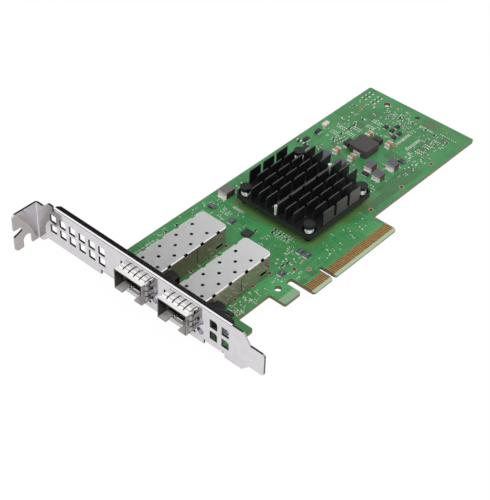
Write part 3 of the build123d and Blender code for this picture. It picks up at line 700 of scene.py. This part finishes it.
def bank(x, y, count, pitch, pad, turn=0.0):
    """A row of pads, in steps across the long side of a pad."""
    for i in range(count):
        spot = Vector((x, y, 0)) + along(turn) * pitch * (i - (count - 1) / 2)
        if free(spot.x, spot.y, 0.3):
            pads.block(spot.x, spot.y, (*pad, pad_height), turn)


def pair(x, y, turn=0.0, gap=1.1, pad=(0.5, 0.6)):
    """An empty two-terminal outline."""
    step = along(turn) * gap / 2
    if free(x, y, 0.7):
        for way in (-1, 1):
            pads.block(x + way * step.x, y + way * step.y, (*pad, pad_height), turn)


def tiny(x, y, turn, bodies, length=1.0, width=0.5, height=0.4):
    """A very small two-terminal part with its metal ends."""
    if not free(x, y, length / 2):
        return
    cap = length * 0.24
    step = along(turn) * (length - cap) / 2
    bodies.block(x, y, (length - 2 * cap, width, height), turn)
    for way in (-1, 1):
        pads.block(x + way * step.x, y + way * step.y, (cap, width, height), turn)


def dot(x, y, radius):
    """A via or a test point."""
    if free(x, y, radius):
        pads.disc(x, y, radius, pad_height)


# Empty outlines with rows of pads, most of them on the far half of the board
for x, y in ((77.3, 58.8), (81.0, 53.4), (86.1, 49.7), (91.0, 50.1), (72.3, 58.6), (76.1, 53.2)):
    for way in (-1, 1):
        bank(x + way * 0.7, y, 5, 0.95, (0.4, 0.85), 90)
for way in (-1, 1):
    bank(88.9, 31.4 + way * 2.75, 11, 0.92, (0.4, 1.5))
for x, y in ((86.7, 23.5), (92.0, 23.4), (97.2, 22.4)):
    for way in (-1, 1):
        bank(x + way * 0.8, y, 4, 1.0, (0.45, 0.8), 90)
bank(102.2, 31.3, 7, 1.0, (0.45, 1.1), 90)
bank(4.0, 53.8, 9, 0.6, (0.3, 1.4), 90)
for i in range(6):
    bank(-43.0 + 1.9 * i, 65.0, 2, 0.7, (0.35, 0.9))

# Parts with wide pads in the far corner
for x in (101.6, 104.2, 106.8):
    for y in (65.4, 60.4):
        pair(x, y, 90, 1.8, (1.0, 0.9))
        dark_bodies.block(x, y, (0.8, 0.6, 0.35), 90)

# Vias and test points in rows and alone
for i in range(5):
    for j in range(3):
        dot(67.2 + 1.4 * i, 52.9 + 1.9 * j - 0.25 * i, 0.34)
for i in range(8):
    dot(103.5, 16.4 + 1.15 * i, 0.3)
for x, y in ((-7.7, 22.5), (-5.2, 20.3), (-7.1, 20.2), (-6.3, 16.6), (-3.0, 18.1), (-9.9, 21.4), (-2.9, 22.6),
             (15.0, 64.6), (17.9, 64.5), (-29.5, 65.9), (9.0, 9.8), (82.1, 26.0), (80.0, 24.1), (77.2, 20.5),
             (74.8, 20.5), (78.4, 19.2), (82.0, 19.0), (79.9, 25.7)):
    dot(x, y, 0.42)
for x, y in ((95.0, 62.6), (93.1, 60.8), (4.2, 45.9), (7.1, 45.6), (0.5, 26.3), (107.4, 26.0), (107.2, 20.0),
             (104.9, 16.2), (106.2, 23.0), (38.5, 10.1)):
    if free(x, y):
        gold_spots.disc(x, y, 0.5, pad_height)

# Empty two-terminal outlines, and two small parts by the upper edge
for i in range(5):
    for x in (2.7, 5.2):
        pair(x, 26.4 + 1.5 * i)
for x, y, turn in ((-1.6, 57.7, 90), (-1.6, 55.3, 90), (-4.3, 56.8, 90), (-4.6, 54.6, 90), (0.4, 57.6, 0),
                   (0.2, 55.4, 0), (0.5, 23.9, 0), (-7.4, 11.3, 0), (-10.0, 10.0, 0), (-15.8, 41.2, 0),
                   (-23.0, 41.2, 0), (54.1, 24.0, 90), (52.8, 22.5, 90)):
    pair(x, y, turn)
for x, y in ((56.7, 65.9), (56.3, 62.2)):
    tiny(x, y, 90, dark_bodies, 2.4, 1.3, 0.7)

# Seeded small parts, outlines and vias: low corner and high corner of each stretch, and the count of each
# kind. On the solder side there are outlines and vias only.
stretches = [((95, 38), (107, 53), 6, 5, 44), ((66, 17), (102, 30), 12, 16, 44), ((68, 54), (100, 66), 6, 8, 44),
             ((82, 33), (103, 52), 14, 14, 44), ((47.5, 20), (62, 62), 12, 12, 24),
             ((-13, 13), (5, 37), 9, 8, 20), ((-9, 44), (5, 64), 7, 7, 16), ((-42, 12.6), (-28, 18), 3, 26, 16),
             ((-28, 13), (-13, 18), 3, 4, 8), ((-42, 63.5), (2, 67.6), 6, 6, 12),
             ((-44, 34), (-12, 41.8), 6, 6, 12), ((-2, 8.5), (38, 17), 0, 2, 26), ((10, 60), (48, 67), 5, 5, 14)]
under_stretches = [((6, 20), (48, 58), 34, 90), ((50, 15), (106, 65), 46, 130), ((-52, 10), (4, 66), 30, 80)]
quiet_stretch = ((74, 59), (97, 67))
draw = random.Random(7)


def spot_in(low, high):
    """A seeded spot between two corners."""
    return draw.uniform(low[0], high[0]), draw.uniform(low[1], high[1])


for low, high, parts, outlines, vias in stretches:
    for _ in range(parts):
        tiny(*spot_in(low, high), draw.choice((0, 90)), draw.choice((dark_bodies, tan_bodies, tan_bodies)))
    for _ in range(outlines):
        pair(*spot_in(low, high), draw.choice((0, 90)), 0.95, (0.45, 0.5))
    for _ in range(vias):
        dot(*spot_in(low, high), draw.choice((0.2, 0.26, 0.34)))
for low, high, outlines, vias in under_stretches:
    for _ in range(vias):
        x, y = spot_in(low, high)
        radius = draw.choice((0.22, 0.3, 0.4))
        if free(x, y, radius + 0.2, side=-1):
            under_pads.disc(x, y, radius, pad_height, board_under - pad_height)
    for _ in range(outlines):
        x, y = spot_in(low, high)
        turn = draw.choice((0, 90))
        if free(x, y, 1.0, side=-1):
            for step in (-0.5 * along(turn), 0.5 * along(turn)):
                under_pads.block(x + step.x, y + step.y, (0.5, 0.6, pad_height), turn, board_under - pad_height)

# Bare copper spots on the quiet stretch by the upper edge
for _ in range(70):
    x, y = spot_in(*quiet_stretch)
    if free(x, y, 0.4):
        bare_spots.disc(x, y, draw.choice((0.2, 0.28)), pad_height)

# Copper rings round the plain holes and round the cages' legs: place, outer and inner radius
hole_rings = [(x, y, 1.15, 0.72) for x, y in ((41.5, 14.8), (62.2, 14.8), (83.5, 15.0), (-7.4, 14.3))]
hole_rings += [(bracket_face / mm + 12.5 + 10 * i, middle + way * 6.975, 1.0, 0.65)
               for middle in port_middles for way in (-1, 1) for i in range(4)]
hole_rings += [(105.0, 55.1, 1.8, 1.55), (-3.4, 10.1, 1.2, 0.6)]
for x, y, outer, inner in hole_rings:
    rings.ring(x, y, outer, inner, 0.05)

# Printed faces of the power resistors: place, turn, and whether the face has a window and solder beside it
print_height = 0.03
print_step = 0.02
body_top = 0.6
power_resistors = [(2.0, 19.0, 0, True, True), (2.1, 15.7, 0, True, True), (-12.7, 16.0, 0, True, True),
                   (-3.2, 50.7, 0, True, True), (-1.9, 62.7, 90, True, False), (76.1, 25.2, 90, False, False)]
for x, y, turn, has_window, has_solder in power_resistors:
    window_rims.block(x, y, (2.1, 1.75, print_height), turn, body_top)
    window_faces.block(x, y, (1.95, 1.6, print_height), turn, body_top + print_step)
    if has_window:
        windows.block(x, y, (1.35, 0.95, print_height), turn, body_top + 2 * print_step)
    if has_solder:
        joints.block(x - 1.8, y, (0.6, 2.2, 0.2))

# Solder at both ends of the taller parts: place, width and half of the step between the ends
soldered_parts = [(60.0, 25.4, 3.8, 2.3), (69.7, 25.3, 3.8, 2.3), (7.9, 63.8, 4.2, 3.2), (54.7, 50.0, 3.4, 2.5),
                  (54.9, 41.8, 3.4, 2.5), (62.8, 31.7, 3.4, 2.5)]
for x, y, width, reach in soldered_parts:
    for way in (-1, 1):
        joints.block(x + way * reach, y, (0.7, width, 0.25))
for x, y in ((61.7, 49.2), (62.3, 41.5), (80.4, 46.2), (80.6, 35.6)):
    for way in (-1, 1):
        joints.block(x + way * 1.8, y, (0.5, 2.3, 0.3))
joints.block(66.9, 48.9, (0.8, 2.2, 0.5))

# The heatsink's low wall, and dark plates under the mouths of the ports: painted shade inside the cages
wall.block(heatsink_middle.x / mm + wall_shift, heatsink_middle.y / mm,
           (wall_length, wall_thickness, wall_height), 0, fin_floor / mm)
for middle in port_middles:
    plates.block(bracket_face / mm + 9, middle, (16.0, 13.4, 0.06), 0, 0.02)

pads.finished("small_pads", "tin", pad_tin)
under_pads.finished("under_pads", "tin", pad_tin)
dark_bodies.finished("small_dark_bodies", "resistor_body")
tan_bodies.finished("small_tan_bodies", "tan_ceramic")
gold_spots.finished("gold_spots", "gold")
rings.finished("hole_rings", "gold", hole_copper)
bare_spots.finished("bare_spots", "gold", bare_copper)
window_rims.finished("resistor_rims", "resistor_body", print_grey)
window_faces.finished("resistor_faces", "resistor_body")
windows.finished("resistor_windows", "resistor_body", window_blue)
joints.finished("solder_joints", "tin")
wall.finished("heatsink_wall", "black_anodised")
plates.finished("port_floors", "cage_steel", port_floor_shade)

# Floor: white paper that the camera sees as white, and that gives mirrored rays less
paper_grey = 0.9
seen_white = 0.97
mirrored_white = 0.5
floor_size = 6.0
floor_material = bpy.data.materials.new("floor_white")
floor_material.use_nodes = True
nt = Nodes(floor_material)
paper = nt.add("ShaderNodeBsdfDiffuse", {"Color": (paper_grey, paper_grey, paper_grey, 1)})
glow = nt.add("ShaderNodeEmission", {"Color": (1, 1, 1, 1), "Strength": 1.0})
rays = nt.add("ShaderNodeLightPath").outputs
seen = nt.both(nt.either(rays["Is Camera Ray"], rays["Is Transmission Ray"]), seen_white)
mirrored = nt.both(rays["Is Glossy Ray"], mirrored_white)
mixed = nt.add("ShaderNodeMixShader", {0: nt.either(seen, mirrored)})
nt.feed(mixed.inputs[1], paper.outputs[0])
nt.feed(mixed.inputs[2], glow.outputs[0])
nt.feed(nt.tree.nodes["Material Output"].inputs["Surface"], mixed.outputs[0])
bpy.ops.mesh.primitive_plane_add(size=floor_size, location=(0, 0, bracket_low.z))
floor = bpy.context.object
floor.name = "floor"
floor.data.materials.append(floor_material)

# World: a bright tent, greyer overhead, with a black flag in it, a bright side, a brighter strip and a
# dark skirt round its foot. The flag's edges are given along X, Y and Z.
world_strength = 0.85
overhead_tone = (0.62, 0.62, 0.64, 1)
skirt_tone = (0.05, 0.05, 0.06, 1)
skirt_level = 0.08
skirt_half = 0.2
flag_tone = (0.02, 0.02, 0.02, 1)
flag_edges = ((-0.14, 0.558), (0.25, 0.78), (0.45, 1.1))
flag_blur = 0.015
side_gain = 1.7
strip_gain = 2.2
strip_along = (-0.9, -0.2)
strip_rise = (0.25, 0.9)


def scaled(nt, tone, gain):
    """A colour made brighter by a gain."""
    return nt.add("ShaderNodeVectorMath", {0: tone, 3: gain}, operation="SCALE").outputs["Vector"]


world = bpy.data.worlds.new("studio")
bpy.context.scene.world = world
world.use_nodes = True
world.node_tree.nodes.clear()
nt = Nodes(world)
sky = nt.axes(nt.coords.node.outputs["Generated"])
tone = nt.blend(nt.remap(sky[2], 0.0, 1.0, 0.0, 1.0), (1.0, 1.0, 1.0, 1), overhead_tone)
skirt = nt.remap(nt.off(sky[2], skirt_level), skirt_half * 0.6, skirt_half, 1.0, 0.0)
tone = nt.blend(skirt, tone, skirt_tone)
side_start = flag_edges[0][1]
tone = scaled(nt, tone, nt.remap(sky[0], side_start, side_start + flag_blur, 1.0, side_gain))
strip = nt.both(nt.between(sky[0], *strip_along), nt.between(sky[2], *strip_rise))
tone = scaled(nt, tone, nt.remap(strip, 0.0, 1.0, 1.0, strip_gain))
flag = nt.both(*(nt.both(nt.remap(way, low - flag_blur, low, 0.0, 1.0),
                         nt.remap(way, high, high + flag_blur, 1.0, 0.0))
                 for way, (low, high) in zip(sky, flag_edges)))
tone = nt.blend(flag, tone, flag_tone)
surround = nt.add("ShaderNodeBackground", {"Color": tone, "Strength": world_strength})
backdrop = nt.add("ShaderNodeBackground", {"Color": (1, 1, 1, 1), "Strength": 1.0})
rays = nt.add("ShaderNodeLightPath").outputs
mixed = nt.add("ShaderNodeMixShader", {0: rays["Is Camera Ray"]})
nt.feed(mixed.inputs[1], surround.outputs[0])
nt.feed(mixed.inputs[2], backdrop.outputs[0])
nt.feed(nt.add("ShaderNodeOutputWorld").inputs["Surface"], mixed.outputs[0])


def softbox(name, place, aim, size, power):
    """A square area light at a place, turned towards another."""
    light = bpy.data.lights.new(name, "AREA")
    light.size = size
    light.energy = power
    lamp = bpy.data.objects.new(name, light)
    lamp.location = place
    lamp.rotation_mode = "QUATERNION"
    lamp.rotation_quaternion = (Vector(aim) - Vector(place)).to_track_quat("-Z", "Y")
    bpy.context.scene.collection.objects.link(lamp)


card_middle = (0.02, 0.04, 0)
softbox("key", (0.0, -0.35, 0.8), card_middle, 0.5, 3.6)
softbox("fill", (-0.7, -0.35, 0.35), card_middle, 0.6, 1.2)

# Camera
forward = Vector((math.sin(camera_yaw) * math.cos(camera_pitch), math.cos(camera_yaw) * math.cos(camera_pitch),
                  math.sin(camera_pitch)))
level_right = forward.cross(Vector((0, 0, 1))).normalized()
level_up = level_right.cross(forward)
right = level_right * math.cos(camera_roll) + level_up * math.sin(camera_roll)
up = level_up * math.cos(camera_roll) - level_right * math.sin(camera_roll)
camera_data = bpy.data.cameras.new("camera")
camera_data.sensor_fit = "HORIZONTAL"
camera_data.sensor_width = sensor_width
camera_data.lens = focal_pixels * sensor_width / image_width
camera_data.shift_x = -centre_offset[0] / image_width
camera_data.shift_y = centre_offset[1] / image_width
camera_data.clip_start = 0.01
camera_data.clip_end = 20
camera = bpy.data.objects.new("camera", camera_data)
camera.matrix_world = Matrix((right, up, -forward)).transposed().to_4x4()
camera.location = camera_place
bpy.context.scene.collection.objects.link(camera)
bpy.context.scene.camera = camera
bpy.context.scene.view_settings.view_transform = "Standard"

bpy.context.view_layer.update()
